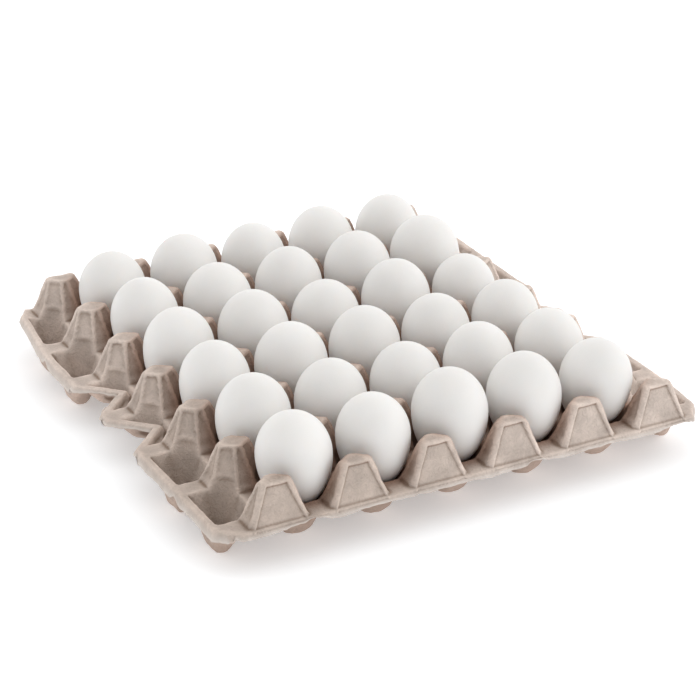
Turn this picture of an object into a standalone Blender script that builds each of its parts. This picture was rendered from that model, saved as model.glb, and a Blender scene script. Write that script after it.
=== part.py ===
"""A moulded-pulp tray of five by six cups, with thirty eggs standing in it.

The tray is one sheet of pulp of even thickness.  Each of its two skins, the one that
carries the eggs and the one underneath, is bounded by the same named planes, and every
corner is the point where three of those planes meet.  The under skin uses the planes
moved down into the sheet by its thickness, so both skins have the same facets and are
joined along the hem of the rim.
"""

import math
import random
from collections import namedtuple

import bmesh
import bpy
import numpy as np
from mathutils import Euler, Vector

# Driving dimensions, in metres.
PITCH = 0.047              # from one cup to the next, both ways
COLUMNS = 5                # cups along X
ROWS = 6                   # cups along Y
SHEET = 0.0019             # thickness of the pulp
POST_HEIGHT = 0.047        # from the table to the flat tops of the posts
LEDGE_DROP = 0.46 * PITCH  # from the post tops down to the ridges and the rim
HEM_DROP = 0.58 * PITCH    # from the post tops down to the lower edge of the rim

# Post: an eight-sided pyramid whose wide flanks face the cups.
FLANK_ANGLE = math.radians(66)
CROWN_REACH = 0.21 * PITCH         # |x| + |y| of the flanks at the flat top
SHOULDER_TOP = 0.17 * PITCH        # distance of the narrow sides at the flat top
SHOULDER_FOOT = 0.37 * PITCH       # and where they come down on the ridges

# Ridges between neighbouring posts.
RIDGE_HALF_WIDTH = 0.12 * PITCH
RIDGE_SLOPE = 2.2                  # fall over run of the sides of a ridge

# Front and back rows of posts are cut off by flat faces.
FACE_TOP = 0.07 * PITCH            # from the row's centre line, at the flat top
FACE_FOOT = 0.17 * PITCH           # and at the rim

# Rim: a level flange with a hem turned down.
FRONT_FLANGE = 0.20 * PITCH        # from the centre line of the front row of posts
SIDE_FLANGE = 0.71 * PITCH         # from the centre line of the outer column of posts
RIM_CORNER = 0.24 * PITCH          # cut off each corner of the rim, along both edges
SKIRT_SLOPE = 3.5

# Half pockets along both sides, outside the outer column of posts.
POCKET_MOUTH = 0.59 * PITCH        # from the column's centre line to the pocket's edge
POCKET_WALL_SLOPE = 6.0

# Finger notches: the two middle half pockets of each side are pulled in to a V.
NOTCH_ROWS = (2, 3)
NOTCH_WALL_SLOPE = 3.5
NOTCH_WALL_REACH = 0.69 * PITCH    # |x| + |y| of the notch's inner edge from the post
NOTCH_SKIRT_REACH = 0.80 * PITCH   # and of its outer edge

# Eggs, pointed end down.
EGG_RADIUS = 0.0203
EGG_BLUNT = 0.0238                 # from the widest ring to the blunt end
EGG_POINTED = 0.0305               # from the widest ring to the pointed end
EGG_SIZE_SPREAD = 0.022            # share by which eggs differ in width
EGG_LENGTH_SPREAD = 0.03
EGG_TILT = math.radians(3.5)
EGG_GAP = 0.00035                  # kept between an egg and the pulp
EGG_SEGMENTS = 12
EGG_RINGS = 7
EGG_SEED = 30
ODD_EGGS = {                       # eggs that stand out, by row and column, and their size
    (5, 5): 1.055,
    (4, 5): 0.93,
    (3, 5): 0.975,
    (2, 5): 0.965,
}

PULP_COLOUR = (0.50, 0.43, 0.37, 1.0)
PULP_ROUGHNESS = 0.92
SHELL_COLOUR = (0.83, 0.82, 0.80, 1.0)
SHELL_ROUGHNESS = 0.5

POST_COLUMNS = range(COLUMNS + 1)
POST_ROWS = range(ROWS + 1)
SIDES = (-1, 1)
LEVEL = (0.0, 0.0)

Plane = namedtuple("Plane", "normal distance fixed")


def post_x(column):
    """X of a column of posts."""
    return (column - COLUMNS / 2) * PITCH


def post_y(row):
    """Y of a row of posts."""
    return (row - ROWS / 2) * PITCH


def sloping_plane(point, heading, slope, fixed=False):
    """Plane through a point that falls towards a heading, by slope times the run."""
    length = math.hypot(*heading) or 1.0
    normal = np.array((slope * heading[0] / length, slope * heading[1] / length, 1.0))
    normal /= np.linalg.norm(normal)
    return Plane(normal, float(normal @ np.array(point)), fixed)


def level_plane(height, fixed=False):
    return sloping_plane((0.0, 0.0, height), LEVEL, 0.0, fixed)


def post_planes():
    """Flanks, narrow sides and flat faces of every post."""
    planes = {}
    flank_slope = math.tan(FLANK_ANGLE)
    shoulder_slope = LEDGE_DROP / (SHOULDER_FOOT - SHOULDER_TOP)
    for i in POST_COLUMNS:
        for j in POST_ROWS:
            x, y = post_x(i), post_y(j)
            for sx in SIDES:
                start = (x + sx * SHOULDER_TOP, y, POST_HEIGHT)
                planes["shoulder x", i, j, sx] = sloping_plane(start, (sx, 0), shoulder_slope)
                for sy in SIDES:
                    start = (x + sx * CROWN_REACH, y, POST_HEIGHT)
                    planes["flank", i, j, sx, sy] = sloping_plane(start, (sx, sy), flank_slope)
            for sy in SIDES:
                start = (x, y + sy * SHOULDER_TOP, POST_HEIGHT)
                planes["shoulder y", i, j, sy] = sloping_plane(start, (0, sy), shoulder_slope)
    face_slope = LEDGE_DROP / (FACE_FOOT - FACE_TOP)
    for j, sy in ((0, -1), (ROWS, 1)):
        face = sloping_plane((0, post_y(j) + sy * FACE_TOP, POST_HEIGHT), (0, sy), face_slope)
        planes["face", sy] = face
        for i in POST_COLUMNS:
            planes["shoulder y", i, j, sy] = face
    return planes


def ridge_planes(ledge_height):
    """Sides of the ridges that run along the rows and the columns of posts."""
    planes = {}
    for sign in SIDES:
        for j in POST_ROWS:
            start = (0, post_y(j) + sign * RIDGE_HALF_WIDTH, ledge_height)
            planes["side y", j, sign] = sloping_plane(start, (0, sign), RIDGE_SLOPE)
        for i in POST_COLUMNS:
            start = (post_x(i) + sign * RIDGE_HALF_WIDTH, 0, ledge_height)
            planes["side x", i, sign] = sloping_plane(start, (sign, 0), RIDGE_SLOPE)
    return planes


def rim_planes(ledge_height):
    """Outer walls of the half pockets, the notches, and the skirt below the flange."""
    planes = {}
    for side, column in ((-1, 0), (1, COLUMNS)):
        x = post_x(column)
        mouth = (x + side * POCKET_MOUTH, 0, ledge_height)
        planes["pocket wall", side] = sloping_plane(mouth, (-side, 0), POCKET_WALL_SLOPE)
        edge = (x + side * SIDE_FLANGE, 0, ledge_height)
        planes["skirt x", side] = sloping_plane(edge, (side, 0), SKIRT_SLOPE)
        for r in NOTCH_ROWS:
            for up, row in ((1, r), (-1, r + 1)):
                wall = (x + side * NOTCH_WALL_REACH, post_y(row), ledge_height)
                skirt = (x + side * NOTCH_SKIRT_REACH, post_y(row), ledge_height)
                planes["notch wall", side, r, up] = sloping_plane(wall, (-side, -up),
                                                                  NOTCH_WALL_SLOPE)
                planes["notch skirt", side, r, up] = sloping_plane(skirt, (side, up),
                                                                   SKIRT_SLOPE)
    for sy, row in ((-1, 0), (1, ROWS)):
        y = post_y(row) + sy * FRONT_FLANGE
        planes["skirt y", sy] = sloping_plane((0, y, ledge_height), (0, sy), SKIRT_SLOPE)
        for side, column in ((-1, 0), (1, COLUMNS)):
            edge = (post_x(column) + side * (SIDE_FLANGE - RIM_CORNER), y, ledge_height)
            planes["rim corner", side, sy] = sloping_plane(edge, (side, sy), SKIRT_SLOPE)
    return planes


def tray_planes():
    """Every plane that bounds the sheet of pulp, by name."""
    ledge_height = POST_HEIGHT - LEDGE_DROP
    planes = {
        "crown": level_plane(POST_HEIGHT),
        "ledge": level_plane(ledge_height),
        "floor": level_plane(SHEET),
        "hem": level_plane(POST_HEIGHT - HEM_DROP, fixed=True),
    }
    planes.update(post_planes())
    planes.update(ridge_planes(ledge_height))
    planes.update(rim_planes(ledge_height))
    return planes


def corner(planes, names, depth):
    """Point where three planes meet, each moved down into the sheet by a depth."""
    chosen = [planes[name] for name in names]
    normals = np.array([plane.normal for plane in chosen])
    distances = [plane.distance - (0.0 if plane.fixed else depth) for plane in chosen]
    return Vector(np.linalg.solve(normals, distances))


def edge_face(j, sy):
    """The flat face that cuts off a row of posts at the front or back, if it does."""
    if (j, sy) in ((0, -1), (ROWS, 1)):
        return ("face", sy)
    return None


def post_facets():
    """Flat top, narrow sides and flanks of every post, as (plane, planes around it)."""
    for i in POST_COLUMNS:
        for j in POST_ROWS:
            left, right = (("shoulder x", i, j, sx) for sx in SIDES)
            near, far = (edge_face(j, sy) or ("shoulder y", i, j, sy) for sy in SIDES)
            flanks = {(sx, sy): ("flank", i, j, sx, sy) for sx in SIDES for sy in SIDES}
            yield "crown", [right, flanks[1, 1], far, flanks[-1, 1],
                            left, flanks[-1, -1], near, flanks[1, -1]]
            for sx, end in ((-1, left), (1, right)):
                yield end, ["crown", flanks[sx, 1], "ledge", flanks[sx, -1]]
            for sy, end in ((-1, near), (1, far)):
                yield end, ["crown", flanks[1, sy], "ledge", flanks[-1, sy]]
            for (sx, sy), flank in flanks.items():
                yield flank, flank_neighbours(i, j, sx, sy)


def flank_neighbours(i, j, sx, sy):
    """Planes around one flank of a post, in order."""
    face = edge_face(j, sy)
    if face:
        return ["crown", face, "ledge", ("shoulder x", i, j, sx)]
    foot = "floor"
    pocket_row = j if sy > 0 else j - 1
    outside = (i, sx) in ((0, -1), (COLUMNS, 1))
    if outside and pocket_row in NOTCH_ROWS:
        foot = ("notch wall", sx, pocket_row, sy)
    return ["crown", ("shoulder y", i, j, sy), "ledge", ("side x", i, sx), foot,
            ("side y", j, sy), "ledge", ("shoulder x", i, j, sx)]


def cup_facets():
    """Floor and ridge sides of every cup."""
    for i in range(COLUMNS):
        for r in range(ROWS):
            near_left, far_left = ("flank", i, r, 1, 1), ("flank", i, r + 1, 1, -1)
            near_right, far_right = ("flank", i + 1, r, -1, 1), ("flank", i + 1, r + 1, -1, -1)
            near, far = ("side y", r, 1), ("side y", r + 1, -1)
            left, right = ("side x", i, 1), ("side x", i + 1, -1)
            yield "floor", [near_left, left, far_left, far, far_right, right, near_right, near]
            yield near, ["ledge", near_left, "floor", near_right]
            yield far, ["ledge", far_left, "floor", far_right]
            yield left, ["ledge", near_left, "floor", far_left]
            yield right, ["ledge", near_right, "floor", far_right]


def ridge_facets():
    """Level tops of the ridges between neighbouring posts."""
    for i in POST_COLUMNS:
        for j in range(ROWS):
            yield "ledge", [("shoulder y", i, j, 1), ("flank", i, j, 1, 1), ("side x", i, 1),
                            ("flank", i, j + 1, 1, -1), ("shoulder y", i, j + 1, -1),
                            ("flank", i, j + 1, -1, -1), ("side x", i, -1),
                            ("flank", i, j, -1, 1)]
    for i in range(COLUMNS):
        for j in POST_ROWS:
            below = edge_face(j, -1) or ("side y", j, -1)
            above = edge_face(j, 1) or ("side y", j, 1)
            yield "ledge", [("shoulder x", i, j, 1), ("flank", i, j, 1, 1), above,
                            ("flank", i + 1, j, -1, 1), ("shoulder x", i + 1, j, -1),
                            ("flank", i + 1, j, -1, -1), below, ("flank", i, j, 1, -1)]


def pocket_facets(side, i, r):
    """Half pocket beyond the outer column of posts, between rows r and r + 1."""
    near, far = ("side y", r, 1), ("side y", r + 1, -1)
    near_flank, far_flank = ("flank", i, r, side, 1), ("flank", i, r + 1, side, -1)
    inner, skirt = ("side x", i, side), ("skirt x", side)
    if r in NOTCH_ROWS:
        near_wall, far_wall = ("notch wall", side, r, 1), ("notch wall", side, r, -1)
        near_skirt, far_skirt = ("notch skirt", side, r, 1), ("notch skirt", side, r, -1)
        yield inner, ["ledge", near_flank, near_wall, far_wall, far_flank]
        yield near, ["ledge", near_flank, near_wall]
        yield far, ["ledge", far_flank, far_wall]
        yield near_wall, ["ledge", near, near_flank, inner, far_wall]
        yield far_wall, ["ledge", far, far_flank, inner, near_wall]
        yield "ledge", [near_wall, near, near_skirt, far_skirt, far, far_wall]
        yield near_skirt, [skirt, "ledge", near, "ledge", far_skirt, "hem"]
        yield far_skirt, [skirt, "ledge", far, "ledge", near_skirt, "hem"]
        return
    wall = ("pocket wall", side)
    yield "floor", [wall, near, near_flank, inner, far_flank, far]
    yield inner, ["ledge", near_flank, "floor", far_flank]
    yield near, ["ledge", near_flank, "floor", wall]
    yield far, ["ledge", far_flank, "floor", wall]
    yield wall, ["ledge", near, "floor", far]
    yield "ledge", [wall, near, skirt, far]
    yield skirt, ["ledge", near, "hem", far]


def spur_side(side, i, j, up):
    """Planes along one side of a spur, from its post out to the skirt."""
    flank, ridge_side = ("flank", i, j, side, up), ("side y", j, up)
    if edge_face(j, up):
        return [flank, ("face", up), ("rim corner", side, up)]
    r = j if up > 0 else j - 1
    if r in NOTCH_ROWS:
        wall, skirt = ("notch wall", side, r, up), ("notch skirt", side, r, up)
        return [flank, ridge_side, wall, ridge_side, skirt]
    return [flank, ridge_side, ("pocket wall", side), ridge_side]


def spur_facets(side, i, j):
    """Level spur from an outer post to the skirt, between two half pockets."""
    skirt = ("skirt x", side)
    far, near = spur_side(side, i, j, 1), spur_side(side, i, j, -1)
    yield "ledge", [("shoulder x", i, j, side)] + far + [skirt] + near[::-1]
    yield skirt, ["ledge", far[-1], "hem", near[-1]]
    for up in SIDES:
        if edge_face(j, up):
            corner_plane = ("rim corner", side, up)
            yield corner_plane, [skirt, "ledge", ("face", up), "ledge", ("skirt y", up), "hem"]


def flange_facets(sy, j):
    """Flange and skirt along the front or the back."""
    face, skirt = ("face", sy), ("skirt y", sy)
    dividers = [("rim corner", -1, sy)]
    for i in POST_COLUMNS:
        dividers += [("flank", i, j, -1, sy), ("flank", i, j, 1, sy)]
    dividers.append(("rim corner", 1, sy))
    for left, right in zip(dividers, dividers[1:]):
        yield "ledge", [face, left, skirt, right]
        yield skirt, ["ledge", left, "hem", right]


def all_facets():
    yield from post_facets()
    yield from cup_facets()
    yield from ridge_facets()
    for side, i in ((-1, 0), (1, COLUMNS)):
        for r in range(ROWS):
            yield from pocket_facets(side, i, r)
        for j in POST_ROWS:
            yield from spur_facets(side, i, j)
    for sy, j in ((-1, 0), (1, ROWS)):
        yield from flange_facets(sy, j)


def build_tray_mesh():
    """Both skins of the sheet and the hem that joins them."""
    planes = tray_planes()
    mesh = bmesh.new()
    skins = ({}, {})
    depths = (0.0, SHEET)

    def vertex(skin, names):
        key = frozenset(names)
        if key not in skins[skin]:
            skins[skin][key] = mesh.verts.new(corner(planes, names, depths[skin]))
        return skins[skin][key]

    for plane, ring in all_facets():
        names = [(plane, a, b) for a, b in zip(ring, ring[1:] + ring[:1])]
        names = [n for k, n in enumerate(names) if frozenset(n) != frozenset(names[k - 1])]
        for skin, facing in ((0, 1), (1, -1)):
            points = [vertex(skin, n) for n in names]
            face = mesh.faces.new(points)
            face.normal_update()
            if face.normal.dot(Vector(planes[plane].normal)) * facing < 0:
                face.normal_flip()
        if "hem" in ring:
            low = [n for n in names if "hem" in n]
            top = [vertex(0, n) for n in low]
            under = [vertex(1, n) for n in low]
            mesh.faces.new((top[0], top[1], under[1], under[0]))
    bmesh.ops.recalc_face_normals(mesh, faces=mesh.faces)
    bmesh.ops.triangulate(mesh, faces=mesh.faces)
    return mesh


def cup_planes(column, row):
    """The planes of the carrying skin that an egg could touch in one cup."""
    planes = tray_planes()
    names = ["floor"]
    for di, sx in ((0, 1), (1, -1)):
        names.append(("side x", column + di, sx))
        names += [("flank", column + di, row + dj, sx, sy) for dj, sy in ((0, 1), (1, -1))]
    names += [("side y", row, 1), ("side y", row + 1, -1)]
    return [planes[name] for name in names]


def egg_reach(direction, radius, blunt, pointed):
    """How far an upright egg reaches from the middle of its widest ring."""
    end = blunt if direction.z > 0 else pointed
    return math.hypot(radius * math.hypot(direction.x, direction.y), end * direction.z)


def seat_height(column, row, turn, radius, blunt, pointed):
    """Height of an egg's widest ring once it has settled on the flanks of its cup."""
    centre_x = (column - (COLUMNS - 1) / 2) * PITCH
    centre_y = (row - (ROWS - 1) / 2) * PITCH
    heights = []
    for plane in cup_planes(column, row):
        normal = Vector(plane.normal)
        reach = egg_reach(turn.inverted() @ -normal, radius, blunt, pointed)
        across = normal.x * centre_x + normal.y * centre_y
        heights.append((plane.distance + reach + EGG_GAP - across) / normal.z)
    return Vector((centre_x, centre_y, max(heights)))


def build_egg_mesh(radius, blunt, pointed):
    """Egg turned about its own long axis, blunt end up."""
    mesh = bmesh.new()
    rings = []
    for k in range(1, EGG_RINGS):
        angle = math.pi * (k / EGG_RINGS - 0.5)
        height = math.sin(angle) * (blunt if angle > 0 else pointed)
        reach = radius * math.cos(angle)
        turns = [2 * math.pi * s / EGG_SEGMENTS for s in range(EGG_SEGMENTS)]
        rings.append([mesh.verts.new((reach * math.cos(a), reach * math.sin(a), height))
                      for a in turns])
    bmesh.ops.bridge_loops(mesh, edges=ring_edges(mesh, rings))
    for ring, height in ((rings[0], -pointed), (rings[-1], blunt)):
        pole = mesh.verts.new((0, 0, height))
        for a, b in zip(ring, ring[1:] + ring[:1]):
            mesh.faces.new((pole, a, b))
    bmesh.ops.recalc_face_normals(mesh, faces=mesh.faces)
    return mesh


def ring_edges(mesh, rings):
    edges = []
    for ring in rings:
        edges += [mesh.edges.new((a, b)) for a, b in zip(ring, ring[1:] + ring[:1])]
    return edges


def make_material(name, colour, roughness):
    material = bpy.data.materials.new(name)
    material.use_nodes = True
    shader = material.node_tree.nodes["Principled BSDF"]
    shader.inputs["Base Color"].default_value = colour
    shader.inputs["Roughness"].default_value = roughness
    shader.inputs["Metallic"].default_value = 0.0
    return material


def add_object(name, mesh, material):
    data = bpy.data.meshes.new(name)
    mesh.to_mesh(data)
    mesh.free()
    data.materials.append(material)
    part = bpy.data.objects.new(name, data)
    bpy.context.scene.collection.objects.link(part)
    return part


def add_tray():
    pulp = make_material("moulded pulp", PULP_COLOUR, PULP_ROUGHNESS)
    return add_object("tray", build_tray_mesh(), pulp)


def add_eggs(tray):
    """One egg in every cup, each with its own size and lean."""
    dice = random.Random(EGG_SEED)
    shell = make_material("egg shell", SHELL_COLOUR, SHELL_ROUGHNESS)
    for row in range(ROWS):
        for column in range(COLUMNS):
            width = ODD_EGGS.get((row + 1, column + 1), 1.0)
            width *= 1 + dice.uniform(-EGG_SIZE_SPREAD, EGG_SIZE_SPREAD)
            length = width * (1 + dice.uniform(-EGG_LENGTH_SPREAD, EGG_LENGTH_SPREAD))
            lean = [dice.uniform(-EGG_TILT, EGG_TILT) for _ in range(2)]
            turn = Euler((lean[0], lean[1], dice.uniform(0, math.tau)))
            sizes = (EGG_RADIUS * width, EGG_BLUNT * length, EGG_POINTED * length)
            egg = add_object(f"egg_r{row + 1}_c{column + 1}", build_egg_mesh(*sizes), shell)
            egg.data.shade_smooth()
            egg.rotation_euler = turn
            egg.location = seat_height(column, row, turn.to_matrix(), *sizes)
            egg.parent = tray


def main():
    for old in list(bpy.data.objects):
        bpy.data.objects.remove(old, do_unlink=True)
    tray = add_tray()
    add_eggs(tray)


main()
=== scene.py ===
"""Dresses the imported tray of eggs: moulded pulp, thirty shells and a pale studio.

Run as a script it builds everything in order.  It is laid out as an add-on, so that each
step is an operator with its own settings.
"""

import math
import random

import bmesh
import bpy
import numpy as np
from mathutils import Matrix, Vector, noise
from mathutils.geometry import delaunay_2d_cdt


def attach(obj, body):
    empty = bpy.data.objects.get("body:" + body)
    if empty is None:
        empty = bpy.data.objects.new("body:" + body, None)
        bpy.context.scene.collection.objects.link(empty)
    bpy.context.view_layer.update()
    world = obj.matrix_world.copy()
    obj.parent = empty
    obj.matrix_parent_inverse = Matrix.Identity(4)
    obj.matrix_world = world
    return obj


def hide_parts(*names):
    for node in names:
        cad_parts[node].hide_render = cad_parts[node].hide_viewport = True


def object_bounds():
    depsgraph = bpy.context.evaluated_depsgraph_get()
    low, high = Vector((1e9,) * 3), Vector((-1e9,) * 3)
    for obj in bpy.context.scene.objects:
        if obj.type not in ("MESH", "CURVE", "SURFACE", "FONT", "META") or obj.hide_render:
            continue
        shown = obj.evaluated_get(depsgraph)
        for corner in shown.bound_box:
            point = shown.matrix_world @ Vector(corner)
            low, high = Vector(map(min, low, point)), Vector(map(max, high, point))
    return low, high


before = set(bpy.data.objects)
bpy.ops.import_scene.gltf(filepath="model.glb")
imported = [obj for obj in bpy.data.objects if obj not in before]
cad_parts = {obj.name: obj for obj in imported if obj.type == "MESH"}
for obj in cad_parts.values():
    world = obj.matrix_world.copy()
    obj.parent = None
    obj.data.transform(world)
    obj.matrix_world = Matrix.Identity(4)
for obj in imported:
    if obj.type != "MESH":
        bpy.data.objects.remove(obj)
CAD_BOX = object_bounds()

bl_info = {
    "name": "Tray of Eggs",
    "version": (1, 0, 0),
    "blender": (4, 5, 0),
    "location": "3D View > Sidebar > Egg Tray",
    "description": "Pulp tray, egg shells and studio around the packed solids",
    "category": "Object",
}

BODY = "root"
TRAY_NODE = "tray"
MM = 0.001

# Layout of the tray, as its solid has it.
PITCH = 0.047
COLUMNS = 5
ROWS = 6
TOP = 0.047                      # height of the flat tops of the posts
LEDGE = TOP - 0.46 * PITCH       # height of the ridges and the rim
HEM = TOP - 0.58 * PITCH         # height of the rim's lower edge
CROWN_REACH = 0.21               # |x| + |y| of a post's flanks at its top, in pitches
FLANK_SPREAD = 0.63              # growth of that reach with depth
SHOULDER_TOP = 0.17              # distance of a post's narrow sides at its top, in pitches
SHOULDER_SPREAD = 0.435          # growth of that distance with depth
FACE_AT = 0.07                   # flat face from its row's centre line, at the top
FACE_SPREAD = 0.217              # growth of that distance with depth
RIM_FROM = 3.10 * PITCH          # beyond this |x| the rim's wavy hem begins
RIM_FROM_Y = 3.15 * PITCH
NOTCH_FROM = 0.745               # and beyond this |x| + |y| from a post, the notch's
LEFT_TEARS = (-2.0, 1.8)         # where the left edge is torn, in pitches

OPEN_SIDE = (-0.55, -0.80, 0.15)  # where the studio tent is open and darker
UNDERSIDE_SHADE = 0.5                  # strength of the painted shade on the underside, beside the painted shade next to an egg
KEY_SIDE = (0.75, -0.50, 0.60)    # where the main soft light comes from


# ---------------------------------------------------------------- fine tray surface

def welded(mesh):
    """Distinct points of a mesh and its triangles as indices into them."""
    mesh.calc_loop_triangles()
    raw = np.empty(len(mesh.vertices) * 3)
    mesh.vertices.foreach_get("co", raw)
    raw = raw.reshape(-1, 3)
    tris = np.empty(len(mesh.loop_triangles) * 3, dtype=np.int64)
    mesh.loop_triangles.foreach_get("vertices", tris)
    keys = np.round(raw * 1e6).astype(np.int64)
    _, first, index = np.unique(keys, axis=0, return_index=True, return_inverse=True)
    return raw[first], index.reshape(-1)[tris].reshape(-1, 3)


def facets(points, tris):
    """Groups of triangles that share an edge and a plane."""
    a, b, c = (points[tris[:, k]] for k in range(3))
    normals = np.cross(b - a, c - a)
    area = np.linalg.norm(normals, axis=1)
    keep = area > 1e-12
    tris, a, normals, area = tris[keep], a[keep], normals[keep], area[keep]
    normals /= area[:, None]
    heights = np.einsum("ij,ij->i", normals, a)
    beside = {}
    for t, tri in enumerate(tris.tolist()):
        for k in range(3):
            beside.setdefault(frozenset((tri[k], tri[k - 1])), []).append(t)
    group = [-1] * len(tris)
    groups = []
    for seed in range(len(tris)):
        if group[seed] >= 0:
            continue
        group[seed] = len(groups)
        members, stack = [seed], [seed]
        while stack:
            t = stack.pop()
            for k in range(3):
                edge = frozenset((int(tris[t][k]), int(tris[t][k - 1])))
                for other in beside[edge]:
                    if group[other] >= 0:
                        continue
                    if (normals[t] @ normals[other] > 0.9999
                            and abs(heights[t] - heights[other]) < 0.02 * MM):
                        group[other] = len(groups)
                        members.append(other)
                        stack.append(other)
        groups.append(members)
    rims = []
    for members in groups:
        count = {}
        for t in members:
            for k in range(3):
                edge = frozenset((int(tris[t][k]), int(tris[t][k - 1])))
                count[edge] = count.get(edge, 0) + 1
        rims.append([tuple(sorted(edge)) for edge, n in count.items() if n == 1])
    return [(normals[m[0]], rim) for m, rim in zip(groups, rims)]


def facet_step(normal, corners, settings):
    """Triangle size that a facet needs."""
    low, high = corners.min(axis=0), corners.max(axis=0)
    if normal[2] < 0.02:
        return settings.under_step
    if min(abs(low[1]), abs(high[1])) > ROWS / 2 * PITCH and abs(normal[1]) > 0.95:
        return settings.face_step
    if normal[2] < 0.5 and high[2] < LEDGE + 0.1 * MM and low[2] > HEM - MM:
        return settings.hem_step
    if min(abs(low[0]), abs(high[0])) > 2.1 * PITCH:
        return settings.side_step
    return settings.top_step


def inside(points, starts, ends):
    """Which points of a plane lie inside a closed outline, by counting crossings."""
    px, py = points[:, 0:1], points[:, 1:2]
    x0, y0, x1, y1 = starts[:, 0], starts[:, 1], ends[:, 0], ends[:, 1]
    spans = (y0 > py) != (y1 > py)
    with np.errstate(divide="ignore", invalid="ignore"):
        at = x0 + (py - y0) / (y1 - y0) * (x1 - x0)
    return (np.sum(spans & (px < at), axis=1) % 2) == 1


def clearance(points, starts, ends):
    """Distance from each point to the nearest edge of an outline."""
    along = ends - starts
    length = np.maximum(np.sum(along * along, axis=1), 1e-12)
    rel = points[:, None, :] - starts[None]
    t = np.clip(np.sum(rel * along[None], axis=2) / length, 0, 1)
    gap = rel - t[..., None] * along[None]
    return np.sqrt(np.min(np.sum(gap * gap, axis=2), axis=1))


def plane_axes(normal):
    across = np.cross((0.0, 0.0, 1.0), normal)
    if np.linalg.norm(across) < 1e-6:
        across = np.array((1.0, 0.0, 0.0))
    across /= np.linalg.norm(across)
    return across, np.cross(normal, across)


def fine_surface(mesh, settings):
    """The same facets as a mesh, filled with small even triangles."""
    corners, tris = welded(mesh)
    parts = facets(corners, tris)
    points = list(corners)
    steps = [facet_step(n, corners[[i for e in rim for i in e]], settings) for n, rim in parts]
    edge_step = {}
    for (normal, rim), step in zip(parts, steps):
        for edge in rim:
            edge_step[edge] = min(step, edge_step.get(edge, 1.0))
    chains = {}
    for edge, step in edge_step.items():
        a, b = (corners[i] for i in edge)
        pieces = max(1, math.ceil(np.linalg.norm(b - a) / step))
        chain = [edge[0]]
        for k in range(1, pieces):
            chain.append(len(points))
            points.append(a + (b - a) * k / pieces)
        chains[edge] = chain + [edge[1]]
    dice = random.Random(11)
    faces = []
    for (normal, rim), step in zip(parts, steps):
        axes = np.array(plane_axes(normal)) / MM
        ring = {}
        links = []
        for edge in rim:
            chain = chains[edge]
            for i in chain:
                ring.setdefault(i, len(ring))
            links += [(ring[a], ring[b]) for a, b in zip(chain, chain[1:])]
        ids = list(ring)
        origin = points[ids[0]]
        flat = np.array([axes @ (points[i] - origin) for i in ids])
        starts = flat[[a for a, b in links]]
        ends = flat[[b for a, b in links]]
        size = step / MM
        low, high = flat.min(axis=0), flat.max(axis=0)
        grid = []
        rows = int((high[1] - low[1]) / (size * 0.866)) + 2
        columns = int((high[0] - low[0]) / size) + 2
        for r in range(rows):
            for c in range(columns):
                grid.append((low[0] + (c + 0.5 * (r % 2)) * size + dice.uniform(-0.15, 0.15) * size,
                             low[1] + r * 0.866 * size + dice.uniform(-0.15, 0.15) * size))
        grid = np.array(grid)
        grid = grid[inside(grid, starts, ends)]
        if len(grid):
            grid = grid[clearance(grid, starts, ends) > 0.5 * size]
        ids += list(range(len(points), len(points) + len(grid)))
        points += [origin + (g @ axes) * MM * MM for g in grid]
        flat = np.vstack((flat, grid)) if len(grid) else flat
        result = delaunay_2d_cdt([Vector(p) for p in flat], links, [], 1, 1e-5)
        spots, triangles, sources = result[0], result[2], result[3]
        if not triangles:
            continue
        middles = np.array([[sum(spots[i][k] for i in tri) / 3 for k in (0, 1)]
                            for tri in triangles])
        kept = inside(middles, starts, ends)
        for tri, good in zip(triangles, kept):
            if good:
                faces.append([ids[sources[i][0]] for i in tri])
    return np.array(points), np.array(faces)


def relaxed(points, faces, rounds, share):
    """Points drawn towards the mean of their neighbours, which rounds every crease."""
    edges = np.vstack((faces[:, (0, 1)], faces[:, (1, 2)], faces[:, (2, 0)]))
    edges = np.unique(np.sort(edges, axis=1), axis=0)
    a, b = edges[:, 0], edges[:, 1]
    count = np.bincount(a, minlength=len(points)) + np.bincount(b, minlength=len(points))
    count = np.maximum(count, 1)[:, None]
    for _ in range(rounds):
        total = np.zeros_like(points)
        for k in range(3):
            total[:, k] = (np.bincount(a, points[b, k], len(points))
                           + np.bincount(b, points[a, k], len(points)))
        points = points + share * (total / count - points)
    return points


def smooth(low, high, value):
    t = np.clip((value - low) / (high - low), 0, 1)
    return t * t * (3 - 2 * t)


def wave(values, seed, scale):
    """Smooth noise from -1 to 1 along one or more coordinates."""
    shift = Vector((seed * 17.3, seed * 5.1, seed * 9.7))
    return np.array([noise.noise(Vector(v) * scale + shift) for v in values.tolist()])


def nearest_post(x, y):
    """Offsets in pitches from the nearest post."""
    column = np.clip(np.round(x + COLUMNS / 2), 0, COLUMNS) - COLUMNS / 2
    row = np.clip(np.round(y + ROWS / 2), 0, ROWS) - ROWS / 2
    return x - column, y - row, column, row


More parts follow.
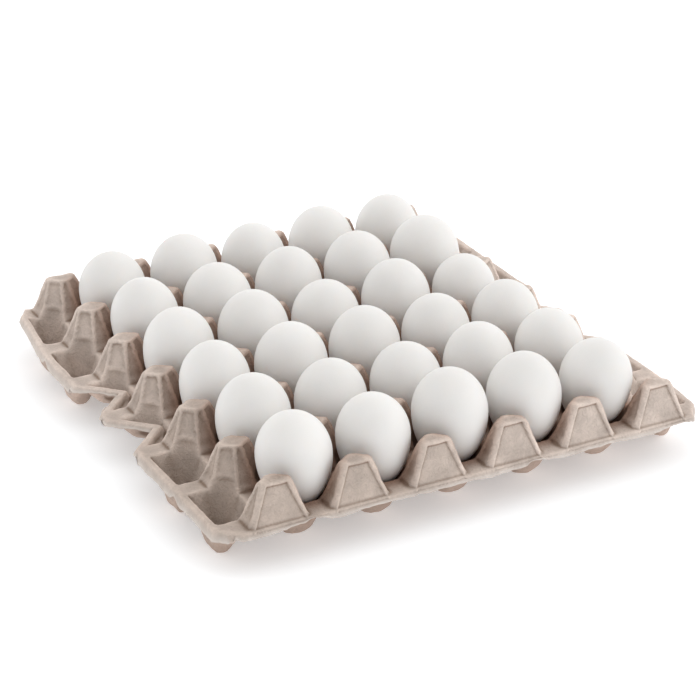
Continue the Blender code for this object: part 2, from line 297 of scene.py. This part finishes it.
def shape_posts(points, settings):
    """Carves the round cups into the flanks and sinks each facet inside raised creases."""
    x, y = points[:, 0] / PITCH, points[:, 1] / PITCH
    down = (TOP - points[:, 2]) / PITCH
    dx, dy, column, row = nearest_post(x, y)
    sx, sy = np.sign(dx), np.sign(dy)
    ax, ay = np.abs(dx), np.abs(dy)
    cut_side = (np.abs(row) == ROWS / 2) & (sy == np.sign(row))

    reach = CROWN_REACH + FLANK_SPREAD * down
    shoulder = SHOULDER_TOP + SHOULDER_SPREAD * down
    lateral = (ax - ay) / math.sqrt(2)
    flank_half = (2 * shoulder - reach) / math.sqrt(2)
    below_top = smooth(0.4 * MM, 1.7 * MM, down * PITCH)

    on_flank = (np.abs(ax + ay - reach) < 0.09) & ~cut_side
    gap = (1 - reach) / math.sqrt(2)
    swell = settings.scoop / PITCH * smooth(0.25, 0.36, down)
    room = np.sqrt(np.maximum((gap + swell) ** 2 - lateral ** 2, 0)) - gap
    cup = np.clip(room, 0, swell) * PITCH
    inset = smooth(0.3 * MM, 1.7 * MM, (flank_half - np.abs(lateral)) * PITCH)
    flat = settings.facet_depth * inset * below_top * (1 - smooth(0.26, 0.40, down))
    amount = np.where(on_flank, np.maximum(cup, flat), 0) / math.sqrt(2)
    points[:, 0] -= sx * amount
    points[:, 1] -= sy * amount

    for axis, out, across, sign in ((0, ax, ay, sx), (1, ay, ax, sy)):
        near = (np.abs(out - shoulder) < 0.05) & (down > 0) & (down < 0.47)
        if axis == 1:
            near &= ~cut_side
        inset = smooth(0.3 * MM, 1.8 * MM, (reach - shoulder - across) * PITCH)
        fade = below_top * (1 - smooth(0.34, 0.45, down))
        points[:, axis] -= np.where(near, sign * settings.facet_depth * inset * fade, 0)

    high = (1 - smooth(0.0, 0.32, down)) * (ax + ay < 0.5)
    points[:, 0] += dx * high * 0.12 * PITCH
    points[:, 1] -= np.where(cut_side, 0, dy * high * 0.20 * PITCH)


def widen_pockets(points, settings):
    """Brings the outer walls of the side pockets close to the edge of the rim."""
    x, y = np.abs(points[:, 0]) / PITCH, np.abs(points[:, 1]) / PITCH
    row = np.abs(y - np.round(y))
    near = smooth(2.85, 3.03, x) * (1 - smooth(3.095, 3.195, x)) * (y > 1) * (y < 3)
    high = smooth(LEDGE - 0.35 * PITCH, LEDGE, points[:, 2])
    amount = near * high * smooth(0.06, 0.16, row) * settings.widening
    points[:, 0] += np.sign(points[:, 0]) * amount


def recess_faces(points, depth, bead):
    """Sinks the flat faces of the front and back posts inside a raised border."""
    x, y = points[:, 0] / PITCH, points[:, 1] / PITCH
    down = (TOP - points[:, 2]) / PITCH
    across = np.abs(nearest_post(x, y)[0])
    plane = ROWS / 2 + FACE_AT + FACE_SPREAD * down
    near = (np.abs(np.abs(y) - plane) < 0.06) & (down < 0.5) & (down > -0.02)
    half = CROWN_REACH - FACE_AT + (FLANK_SPREAD - FACE_SPREAD) * down
    border = np.minimum((half - across) * 0.92, down * 0.9) * PITCH
    inner = smooth(0.7 * bead, 1.6 * bead, border)
    lip = smooth(0.0, 0.4 * bead, border) * (1 - inner)
    shallow = 1 - 0.5 * smooth(0.36, 0.46, down)
    amount = np.where(near, depth * (0.35 * lip - inner * shallow), 0)
    points[:, 1] += np.sign(y) * amount


def dish_tops(points, depth):
    """Lets the flat top of every post sag a little."""
    dx, dy, column, row = nearest_post(points[:, 0] / PITCH, points[:, 1] / PITCH)
    high = smooth(LEDGE + 0.8 * (TOP - LEDGE), TOP - 0.5 * MM, points[:, 2])
    points[:, 2] -= depth * high * (1 - smooth(0.03, 0.15, np.hypot(dx, dy)))


def wave_hem(points, settings):
    """Makes the lower edge of the rim wander, with small torn nicks.

    The skirt is short in front and behind, and shortest just beyond each flat face.
    """
    x, y, z = points.T
    ends = np.abs(y) > RIM_FROM_Y
    outer = (np.abs(x) > RIM_FROM) | ends
    past_row = np.abs(y / PITCH - np.round(y / PITCH))
    notch = (np.abs(y) < PITCH) & (np.abs(x) / PITCH - COLUMNS / 2 + past_row > NOTCH_FROM)
    weight = (1 - smooth(HEM, LEDGE - 0.2 * MM, z)) * (outer | notch) * (z > HEM - 0.3 * MM)
    flat = np.column_stack((x, y, np.zeros_like(x)))
    past_post = x / PITCH + COLUMNS / 2 - np.round(x / PITCH + COLUMNS / 2)
    level = np.where(ends, 2.0 + 0.6 * np.sin(2 * math.pi * past_post),
                     np.where(notch, 1.9, -0.5))
    wander = wave(flat, 3, 40.0) * 0.9 + wave(flat, 4, 150.0) * 0.55 + wave(flat, 7, 420.0) * 0.35
    tear = smooth(0.38, 0.62, wave(flat, 5, 62.0)) * 1.6
    torn = 0.0
    for at in LEFT_TEARS:
        torn = torn + 2.6 * (x < -RIM_FROM) * np.exp(-((y / PITCH - at) / 0.07) ** 2)
    points[:, 2] += weight * (level + wander + tear + torn) * settings.hem_wander
    return weight


def bend_corners(points):
    """Two corners of the rim have been knocked in and up."""
    x, y = points[:, 0] / PITCH, points[:, 1] / PITCH
    back_left = smooth(-2.85, -3.2, x) * smooth(1.6, 3.1, y)
    front_right = smooth(2.8, 3.2, x) * smooth(-2.2, -3.1, y)
    points[:, 0] += (0.13 * back_left - 0.09 * front_right) * PITCH
    points[:, 2] += (0.05 * back_left + 0.02 * front_right) * PITCH


def point_normals(points, faces):
    a, b, c = (points[faces[:, k]] for k in range(3))
    flat = np.cross(b - a, c - a)
    normals = np.zeros_like(points)
    for k in range(3):
        for j in range(3):
            normals[:, j] += np.bincount(faces[:, k], flat[:, j], len(points))
    return normals / np.maximum(np.linalg.norm(normals, axis=1), 1e-15)[:, None]


def roughen(points, faces, settings):
    """Uneven surface of moulded pulp, along the normals."""
    lift = (wave(points, 1, 55.0) * 0.40 + wave(points, 2, 170.0) * 0.30
            + wave(points, 6, 420.0) * 0.20) * settings.unevenness
    return points + point_normals(points, faces) * lift[:, None]


def relief(points, faces, rounds):
    """How far each point lies below (+) or above (-) its surroundings, in millimetres."""
    hollow = relaxed(points, faces, rounds, 0.5) - points
    return np.einsum("ij,ij->i", hollow, point_normals(points, faces)) / MM


# The result is the mask of painted shade on the pulp next to each egg.
def painted_shade(points, eggs):
    """How closely each point is covered by an egg, from 0 to 1."""
    cover = np.zeros(len(points))
    for centre, axis, radius, blunt, pointed in eggs:
        offset = points - centre
        along = offset @ axis
        away = np.sqrt(np.maximum(np.sum(offset * offset, axis=1) - along * along, 0))
        stretch = np.where(along > 0, blunt, pointed)
        gap = (np.hypot(away / radius, along / stretch) - 1) * radius
        cover = np.maximum(cover, 1 - smooth(2 * MM, 13 * MM, gap))
    return cover


def add_mesh(name, points, faces, material):
    mesh = bpy.data.meshes.new(name)
    mesh.from_pydata(points.tolist(), [], faces.tolist())
    mesh.update()
    mesh.shade_smooth()
    mesh.materials.append(material)
    piece = bpy.data.objects.new(name, mesh)
    bpy.context.scene.collection.objects.link(piece)
    return piece


# ---------------------------------------------------------------- materials

def node(tree, kind, **values):
    made = tree.nodes.new(kind)
    for key, value in values.items():
        setattr(made, key, value)
    return made


def link(tree, source, target):
    tree.links.new(source, target)


def new_group(name, inputs, outputs):
    group = bpy.data.node_groups.new(name, "ShaderNodeTree")
    for label, kind, default in inputs:
        socket = group.interface.new_socket(label, in_out="INPUT", socket_type=kind)
        if default is not None:
            socket.default_value = default
    for label, kind in outputs:
        group.interface.new_socket(label, in_out="OUTPUT", socket_type=kind)
    return group, group.nodes.new("NodeGroupInput"), group.nodes.new("NodeGroupOutput")


def mottle_group():
    """Soft patches and fine grain, as masks from 0 to 1."""
    if "Mottle" in bpy.data.node_groups:
        return bpy.data.node_groups["Mottle"]
    group, gin, gout = new_group(
        "Mottle",
        [("Vector", "NodeSocketVector", None), ("Patch Scale", "NodeSocketFloat", 60.0),
         ("Grain Scale", "NodeSocketFloat", 900.0)],
        [("Patches", "NodeSocketFloat"), ("Grain", "NodeSocketFloat")])
    patches = node(group, "ShaderNodeTexNoise")
    patches.inputs["Detail"].default_value = 4.0
    grain = node(group, "ShaderNodeTexNoise")
    grain.inputs["Detail"].default_value = 3.0
    grain.inputs["Roughness"].default_value = 0.6
    for tex, scale, out in ((patches, "Patch Scale", "Patches"), (grain, "Grain Scale", "Grain")):
        link(group, gin.outputs["Vector"], tex.inputs["Vector"])
        link(group, gin.outputs[scale], tex.inputs["Scale"])
        link(group, tex.outputs["Fac"], gout.inputs[out])
    return group


def new_material(name, colour, roughness):
    material = bpy.data.materials.new(name)
    material.use_nodes = True
    material.diffuse_color = (*colour, 1.0)
    tree = material.node_tree
    shader = tree.nodes["Principled BSDF"]
    shader.inputs["Base Color"].default_value = (*colour, 1.0)
    shader.inputs["Roughness"].default_value = roughness
    return material, tree, shader


def ramp(tree, low, high, low_colour, high_colour):
    made = node(tree, "ShaderNodeValToRGB")
    made.color_ramp.elements[0].position = low
    made.color_ramp.elements[1].position = high
    made.color_ramp.elements[0].color = (*low_colour, 1.0)
    made.color_ramp.elements[1].color = (*high_colour, 1.0)
    return made


def shade(colour, factor):
    return tuple(c * factor for c in colour)


def pulp_material(settings):
    """Grey-beige moulded pulp: matt, mottled and fibrous.

    Ridges carry a painted highlight and creases painted shade, pulp near the eggs and on the
    underside is painted darker and browner as shade, the tray is painted lighter away from its
    front-left corner as painted light, and the torn hem is pale.
    """
    base = tuple(settings.colour)
    material, tree, shader = new_material("moulded pulp", base, 0.95)
    shader.inputs["Specular IOR Level"].default_value = 0.15
    coords = node(tree, "ShaderNodeTexCoord")
    mottle = node(tree, "ShaderNodeGroup", node_tree=mottle_group())
    mottle.inputs["Patch Scale"].default_value = 90.0
    mottle.inputs["Grain Scale"].default_value = 800.0
    link(tree, coords.outputs["Object"], mottle.inputs["Vector"])
    tint = ramp(tree, 0.34, 0.68, shade(base, 0.88), shade(base, 1.10))
    link(tree, mottle.outputs["Patches"], tint.inputs["Fac"])

    # Painted shade in the creases and painted highlight on the ridges, set by the hollow attribute.
    hollow = node(tree, "ShaderNodeAttribute", attribute_name="hollow")
    ridge_light_crease_shade = ramp(tree, 0.0, 1.0, (1.25, 1.25, 1.25), (0.50, 0.44, 0.39))
    ridge_light_crease_shade.color_ramp.elements.new(0.5).color = (1.0, 1.0, 1.0, 1.0)
    spread = node(tree, "ShaderNodeMath", operation="MULTIPLY_ADD", use_clamp=True)
    spread.inputs[1].default_value = 1.3
    spread.inputs[2].default_value = 0.5
    link(tree, hollow.outputs["Fac"], spread.inputs[0])
    link(tree, spread.outputs["Value"], ridge_light_crease_shade.inputs["Fac"])
    toned = node(tree, "ShaderNodeMix", data_type="RGBA", blend_type="MULTIPLY")
    toned.inputs["Factor"].default_value = 1.0
    link(tree, tint.outputs["Color"], toned.inputs["A"])
    link(tree, ridge_light_crease_shade.outputs["Color"], toned.inputs["B"])

    fibres = node(tree, "ShaderNodeTexNoise")
    fibres.inputs["Scale"].default_value = 300.0
    fibres.inputs["Detail"].default_value = 5.0
    fibres.inputs["Distortion"].default_value = 2.2
    link(tree, coords.outputs["Object"], fibres.inputs["Vector"])
    threads = ramp(tree, 0.30, 0.72, (0.90, 0.895, 0.89), (1.07, 1.07, 1.075))
    link(tree, fibres.outputs["Fac"], threads.inputs["Fac"])
    fibrous = node(tree, "ShaderNodeMix", data_type="RGBA", blend_type="MULTIPLY")
    fibrous.inputs["Factor"].default_value = 1.0
    link(tree, toned.outputs["Result"], fibrous.inputs["A"])
    link(tree, threads.outputs["Color"], fibrous.inputs["B"])

    tone = fibrous.outputs["Result"]
    # Painted shade next to the eggs and on the underside, and painted light that grows away from
    # the front-left corner.
    for label, low, high in (("painted_shade", (1.0, 1.0, 1.0), (0.56, 0.43, 0.37)),
                             ("light_away_from_corner", (1.0, 1.0, 1.0), (1.19, 1.21, 1.235))):
        mask = node(tree, "ShaderNodeAttribute", attribute_name=label)
        shift = ramp(tree, 0.0, 1.0, low, high)
        link(tree, mask.outputs["Fac"], shift.inputs["Fac"])
        mixed = node(tree, "ShaderNodeMix", data_type="RGBA", blend_type="MULTIPLY")
        mixed.inputs["Factor"].default_value = 1.0
        link(tree, tone, mixed.inputs["A"])
        link(tree, shift.outputs["Color"], mixed.inputs["B"])
        tone = mixed.outputs["Result"]

    frayed = node(tree, "ShaderNodeAttribute", attribute_name="frayed")
    fuzz = node(tree, "ShaderNodeMath", operation="MULTIPLY", use_clamp=True)
    link(tree, frayed.outputs["Fac"], fuzz.inputs[0])
    link(tree, mottle.outputs["Patches"], fuzz.inputs[1])
    pale = node(tree, "ShaderNodeMix", data_type="RGBA")
    pale.inputs["B"].default_value = (0.72, 0.68, 0.64, 1.0)
    link(tree, fuzz.outputs["Value"], pale.inputs["Factor"])
    link(tree, tone, pale.inputs["A"])
    link(tree, pale.outputs["Result"], shader.inputs["Base Color"])

    height = node(tree, "ShaderNodeMath", operation="MULTIPLY_ADD")
    height.inputs[1].default_value = 0.5
    link(tree, mottle.outputs["Grain"], height.inputs[0])
    link(tree, fibres.outputs["Fac"], height.inputs[2])
    bump = node(tree, "ShaderNodeBump")
    bump.inputs["Strength"].default_value = 0.6
    bump.inputs["Distance"].default_value = 0.0012
    link(tree, height.outputs["Value"], bump.inputs["Height"])
    link(tree, bump.outputs["Normal"], shader.inputs["Normal"])
    return material


def shell_material(settings):
    """White egg shell: satin, faintly uneven in tone, with fine pores."""
    base = tuple(settings.colour)
    material, tree, shader = new_material("egg shell", base, 0.5)
    shader.inputs["Specular IOR Level"].default_value = 0.3
    shader.inputs["Subsurface Weight"].default_value = 0.3
    shader.inputs["Subsurface Radius"].default_value = (1.0, 0.85, 0.72)
    shader.inputs["Subsurface Scale"].default_value = 0.012
    coords = node(tree, "ShaderNodeTexCoord")
    mottle = node(tree, "ShaderNodeGroup", node_tree=mottle_group())
    mottle.inputs["Patch Scale"].default_value = 38.0
    mottle.inputs["Grain Scale"].default_value = 1500.0
    link(tree, coords.outputs["Object"], mottle.inputs["Vector"])
    tint = ramp(tree, 0.35, 0.65, shade(base, 0.975), shade(base, 1.02))
    link(tree, mottle.outputs["Patches"], tint.inputs["Fac"])
    link(tree, tint.outputs["Color"], shader.inputs["Base Color"])
    bump = node(tree, "ShaderNodeBump")
    bump.inputs["Strength"].default_value = 0.12
    bump.inputs["Distance"].default_value = 0.0003
    link(tree, mottle.outputs["Grain"], bump.inputs["Height"])
    link(tree, bump.outputs["Normal"], shader.inputs["Normal"])
    return material


def floor_material(settings):
    """White paper sweep."""
    base = tuple(settings.floor_colour)
    material, tree, shader = new_material("studio paper", base, 0.9)
    shader.inputs["Specular IOR Level"].default_value = 0.0
    shader.inputs["Emission Color"].default_value = (1.0, 1.0, 1.0, 1.0)
    shader.inputs["Emission Strength"].default_value = settings.floor_glow
    coords = node(tree, "ShaderNodeTexCoord")
    mottle = node(tree, "ShaderNodeGroup", node_tree=mottle_group())
    mottle.inputs["Patch Scale"].default_value = 3.0
    mottle.inputs["Grain Scale"].default_value = 400.0
    link(tree, coords.outputs["Object"], mottle.inputs["Vector"])
    tint = ramp(tree, 0.3, 0.7, shade(base, 0.995), base)
    link(tree, mottle.outputs["Patches"], tint.inputs["Fac"])
    link(tree, tint.outputs["Color"], shader.inputs["Base Color"])
    return material


# ---------------------------------------------------------------- eggs

def egg_shape(mesh, blunt_share):
    """Centre of the widest ring, axis, radius and the lengths to both ends of an egg solid."""
    points, tris = welded(mesh)
    spread = np.linalg.norm(points[:, None] - points[None], axis=2)
    a, b = np.unravel_index(np.argmax(spread), spread.shape)
    sharp, top = sorted((points[a], points[b]), key=lambda end: end[2])
    axis = top - sharp
    length = np.linalg.norm(axis)
    axis /= length
    along = (points - sharp) @ axis
    away = np.linalg.norm(points - sharp - along[:, None] * axis, axis=1)
    pointed, blunt = length * (1 - blunt_share), length * blunt_share
    rise = (along - pointed) / np.where(along > pointed, blunt, pointed)
    usable = np.abs(rise) < 0.6
    radius = float(np.max(away[usable] / np.sqrt(1 - rise[usable] ** 2)))
    return sharp + axis * pointed, axis, radius, blunt, pointed


def egg_surface(centre, axis, radius, blunt, pointed, settings, seed):
    """Smooth shell, blunt end up, a touch uneven."""
    turn = Vector((0, 0, 1)).rotation_difference(Vector(axis)).to_matrix()
    rings, segments = settings.rings, settings.segments
    points = [(0.0, 0.0, -pointed)]
    for k in range(1, rings):
        angle = math.pi * (k / rings - 0.5)
        height = math.sin(angle) * (blunt if angle > 0 else pointed)
        reach = radius * math.cos(angle)
        for s in range(segments):
            a = 2 * math.pi * s / segments
            points.append((reach * math.cos(a), reach * math.sin(a), height))
    points.append((0.0, 0.0, blunt))
    shift = Vector((seed * 1.7, seed * 0.9, seed * 2.3))
    placed = []
    for p in points:
        p = Vector(p)
        lump = noise.noise(p * 45.0 + shift) * settings.lumps
        placed.append(turn @ (p * (1 + lump / radius)) + Vector(centre))
    faces = []
    for s in range(segments):
        t = (s + 1) % segments
        faces.append((0, 1 + t, 1 + s))
        last = 1 + (rings - 2) * segments
        faces.append((last + s, last + t, len(points) - 1))
        for k in range(rings - 2):
            row = 1 + k * segments
            faces.append((row + s, row + t, row + segments + t, row + segments + s))
    return placed, faces


# ---------------------------------------------------------------- settings

class EggTrayPulp(bpy.types.PropertyGroup):
    """Pulp tray."""

    colour: bpy.props.FloatVectorProperty(
        name="Pulp Colour", description="Base colour of the moulded pulp",
        subtype="COLOR", size=3, min=0.0, max=1.0, default=(0.535, 0.447, 0.388))
    top_step: bpy.props.FloatProperty(
        name="Top Triangles", description="Triangle size on the carrying side",
        default=0.0022, unit="LENGTH")
    side_step: bpy.props.FloatProperty(
        name="Side Triangles", description="Triangle size on the outer posts",
        default=0.0015, unit="LENGTH")
    face_step: bpy.props.FloatProperty(
        name="Face Triangles", description="Triangle size on the front and back faces",
        default=0.00075, unit="LENGTH")
    hem_step: bpy.props.FloatProperty(
        name="Hem Triangles", description="Triangle size on the skirt of the rim",
        default=0.0011, unit="LENGTH")
    under_step: bpy.props.FloatProperty(
        name="Under Triangles", description="Triangle size on the underside",
        default=0.0038, unit="LENGTH")
    rounding: bpy.props.IntProperty(
        name="Rounding", description="How often creases low in the cups are relaxed", default=4)
    scoop: bpy.props.FloatProperty(
        name="Scoop", description="Depth of the round cups in the flanks",
        default=0.0017, unit="LENGTH")
    facet_depth: bpy.props.FloatProperty(
        name="Facet Depth", description="How far the sides of a post lie below its creases",
        default=0.0010, unit="LENGTH")
    widening: bpy.props.FloatProperty(
        name="Widening", description="How far the side pockets reach into the rim",
        default=0.0020, unit="LENGTH")
    face_depth: bpy.props.FloatProperty(
        name="Face Depth", description="How far the flat faces are sunk",
        default=0.0009, unit="LENGTH")
    bead: bpy.props.FloatProperty(
        name="Bead", description="Width of the raised border of a flat face",
        default=0.0010, unit="LENGTH")
    dish: bpy.props.FloatProperty(
        name="Dish", description="How far the post tops sag", default=0.0004, unit="LENGTH")
    hem_wander: bpy.props.FloatProperty(
        name="Hem Wander", description="How far the rim's lower edge strays",
        default=0.0013, unit="LENGTH")
    unevenness: bpy.props.FloatProperty(
        name="Unevenness", description="Height of the lumps in the pulp",
        default=0.0007, unit="LENGTH")


class EggTrayShells(bpy.types.PropertyGroup):
    """Eggs."""

    colour: bpy.props.FloatVectorProperty(
        name="Shell Colour", description="Base colour of the egg shells",
        subtype="COLOR", size=3, min=0.0, max=1.0, default=(0.825, 0.81, 0.79))
    rings: bpy.props.IntProperty(
        name="Rings", description="Rings from end to end", default=32)
    segments: bpy.props.IntProperty(
        name="Segments", description="Points around a ring", default=48)
    blunt_share: bpy.props.FloatProperty(
        name="Blunt Share", description="Share of the length above the widest ring",
        default=0.4383, subtype="FACTOR")
    lumps: bpy.props.FloatProperty(
        name="Lumps", description="Height of the uneven places in a shell",
        default=0.00015, unit="LENGTH")


class EggTrayStudio(bpy.types.PropertyGroup):
    """Floor, light and camera."""

    floor_colour: bpy.props.FloatVectorProperty(
        name="Floor Colour", description="Colour of the paper sweep",
        subtype="COLOR", size=3, min=0.0, max=1.0, default=(0.90, 0.915, 0.93))
    floor_glow: bpy.props.FloatProperty(
        name="Floor Glow", description="Light that the paper gives off", default=0.32)
    sky: bpy.props.FloatProperty(
        name="Fill", description="Strength of the even light all round", default=1.09)
    open_share: bpy.props.FloatProperty(
        name="Open Side", description="Share of the fill that comes from the open side",
        default=0.45, subtype="FACTOR")
    key_strength: bpy.props.FloatProperty(
        name="Key Strength", description="Strength of the main soft light", default=0.5)
    lens: bpy.props.FloatProperty(
        name="Lens", description="Focal length of the camera in millimetres", default=121.58)


class EGGTRAY_OT_tray(bpy.types.Operator):
    """Build the moulded-pulp tray around its solid"""

    bl_idname = "eggtray.tray"
    bl_label = "Build Tray"

    def execute(self, context):
        settings = context.scene.eggtray_pulp
        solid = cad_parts[TRAY_NODE]
        points, faces = fine_surface(solid.data, settings)
        crisp = relaxed(points, faces, 1, 0.5)
        soft = relaxed(points, faces, settings.rounding, 0.5)
        deep = (1 - smooth(0.25 * LEDGE, 0.8 * LEDGE, points[:, 2]))[:, None]
        points = crisp + (soft - crisp) * deep
        shape_posts(points, settings)
        widen_pockets(points, settings)
        recess_faces(points, settings.face_depth, settings.bead)
        dish_tops(points, settings.dish)
        frayed = wave_hem(points, settings)
        # hollow sets the painted crease shade and painted ridge highlight of the pulp.
        hollow = relief(points, faces, 5)
        eggs = [egg_shape(solid.data, context.scene.eggtray_shells.blunt_share)
                for name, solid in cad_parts.items() if name != TRAY_NODE]
        # Painted shade: the underside and the pulp close to an egg are darkened.
        under = smooth(-0.05, -0.30, point_normals(points, faces)[:, 2])
        cover = np.maximum(painted_shade(points, eggs), UNDERSIDE_SHADE * under)
        # Painted light: the pulp is made lighter the farther it lies from the front-left corner.
        corner = np.hypot(points[:, 0] - CAD_BOX[0][0], points[:, 1] - CAD_BOX[0][1])
        light_away_from_corner = smooth(0.8 * PITCH, 5.0 * PITCH, corner)
        points = roughen(points, faces, settings)
        bend_corners(points)
        points = np.clip(points, CAD_BOX[0], CAD_BOX[1])
        used = np.unique(faces)
        number = np.full(len(points), -1)
        number[used] = np.arange(len(used))
        tray = add_mesh("pulp_tray", points[used], number[faces], pulp_material(settings))
        for label, values in (("hollow", hollow), ("frayed", frayed),
                              ("painted_shade", cover), ("light_away_from_corner", light_away_from_corner)):
            layer = tray.data.attributes.new(label, "FLOAT", "POINT")
            layer.data.foreach_set("value", values[used].astype(np.float32))
        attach(tray, BODY)
        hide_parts(TRAY_NODE)
        return {"FINISHED"}


class EGGTRAY_OT_eggs(bpy.types.Operator):
    """Build one smooth shell for every egg"""

    bl_idname = "eggtray.eggs"
    bl_label = "Build Eggs"

    def execute(self, context):
        settings = context.scene.eggtray_shells
        material = shell_material(settings)
        names = sorted(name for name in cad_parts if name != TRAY_NODE)
        for seed, name in enumerate(names):
            shape = egg_shape(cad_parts[name].data, settings.blunt_share)
            points, faces = egg_surface(*shape, settings, seed)
            mesh = bpy.data.meshes.new("shell_" + name[4:])
            mesh.from_pydata(points, [], faces)
            mesh.update()
            mesh.shade_smooth()
            mesh.materials.append(material)
            shell = bpy.data.objects.new("shell_" + name[4:], mesh)
            context.scene.collection.objects.link(shell)
            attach(shell, BODY)
            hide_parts(name)
        return {"FINISHED"}


def soften_front(tree, settings):
    """White tent all round, dimmer on the side that the room is open to."""
    background = tree.nodes["Background"]
    background.inputs["Color"].default_value = (1.0, 1.0, 1.0, 1.0)
    coords = node(tree, "ShaderNodeTexCoord")
    facing = node(tree, "ShaderNodeVectorMath", operation="DOT_PRODUCT")
    facing.inputs[1].default_value = Vector(OPEN_SIDE).normalized()
    link(tree, coords.outputs["Generated"], facing.inputs[0])
    dim = node(tree, "ShaderNodeMapRange", interpolation_type="SMOOTHSTEP")
    dim.inputs["From Min"].default_value = 0.25
    dim.inputs["From Max"].default_value = 0.95
    dim.inputs["To Min"].default_value = settings.sky
    dim.inputs["To Max"].default_value = settings.sky * settings.open_share
    link(tree, facing.outputs["Value"], dim.inputs["Value"])
    link(tree, dim.outputs["Result"], background.inputs["Strength"])


class EGGTRAY_OT_stage(bpy.types.Operator):
    """Set up the floor, the light and the camera"""

    bl_idname = "eggtray.stage"
    bl_label = "Build Stage"

    def execute(self, context):
        settings = context.scene.eggtray_studio
        scene = context.scene
        mesh = bpy.data.meshes.new("sweep")
        half = 6.0
        mesh.from_pydata([(-half, -half, 0), (half, -half, 0), (half, half, 0), (-half, half, 0)],
                         [], [(0, 1, 2, 3)])
        mesh.materials.append(floor_material(settings))
        floor = bpy.data.objects.new("sweep", mesh)
        floor.location.z = -0.0002
        scene.collection.objects.link(floor)

        world = bpy.data.worlds.new("studio")
        world.use_nodes = True
        soften_front(world.node_tree, settings)
        scene.world = world

        lamp = bpy.data.lights.new("key", "SUN")
        lamp.energy = settings.key_strength
        lamp.angle = math.radians(60.0)
        key = bpy.data.objects.new("key", lamp)
        key.location = KEY_SIDE
        key.rotation_euler = Vector(KEY_SIDE).to_track_quat("Z", "Y").to_euler()
        scene.collection.objects.link(key)

        lens = bpy.data.cameras.new("camera")
        lens.lens = settings.lens
        lens.sensor_width = 36.0
        lens.clip_end = 20.0
        camera = bpy.data.objects.new("camera", lens)
        camera.location = (-0.5895, -1.0763, 0.6307)
        camera.rotation_euler = [math.radians(a) for a in (64.010, -0.516, -28.601)]
        scene.collection.objects.link(camera)
        scene.camera = camera
        scene.view_settings.view_transform = "Standard"
        return {"FINISHED"}


class EGGTRAY_PT_panel(bpy.types.Panel):
    """Settings and steps of the tray of eggs"""

    bl_idname = "EGGTRAY_PT_panel"
    bl_label = "Tray of Eggs"
    bl_space_type = "VIEW_3D"
    bl_region_type = "UI"
    bl_category = "Egg Tray"

    def draw(self, context):
        for settings, operator in (("eggtray_pulp", EGGTRAY_OT_tray),
                                   ("eggtray_shells", EGGTRAY_OT_eggs),
                                   ("eggtray_studio", EGGTRAY_OT_stage)):
            box = self.layout.box()
            group = getattr(context.scene, settings)
            for name in group.bl_rna.properties.keys():
                if name not in ("rna_type", "name"):
                    box.prop(group, name)
            box.operator(operator.bl_idname)


CLASSES = (EggTrayPulp, EggTrayShells, EggTrayStudio,
           EGGTRAY_OT_tray, EGGTRAY_OT_eggs, EGGTRAY_OT_stage, EGGTRAY_PT_panel)


def register():
    for cls in CLASSES:
        bpy.utils.register_class(cls)
    bpy.types.Scene.eggtray_pulp = bpy.props.PointerProperty(type=EggTrayPulp)
    bpy.types.Scene.eggtray_shells = bpy.props.PointerProperty(type=EggTrayShells)
    bpy.types.Scene.eggtray_studio = bpy.props.PointerProperty(type=EggTrayStudio)


def unregister():
    del bpy.types.Scene.eggtray_studio
    del bpy.types.Scene.eggtray_shells
    del bpy.types.Scene.eggtray_pulp
    for cls in reversed(CLASSES):
        bpy.utils.unregister_class(cls)


def main():
    register()
    bpy.ops.eggtray.tray()
    bpy.ops.eggtray.eggs()
    bpy.ops.eggtray.stage()


if __name__ == "__main__":
    main()
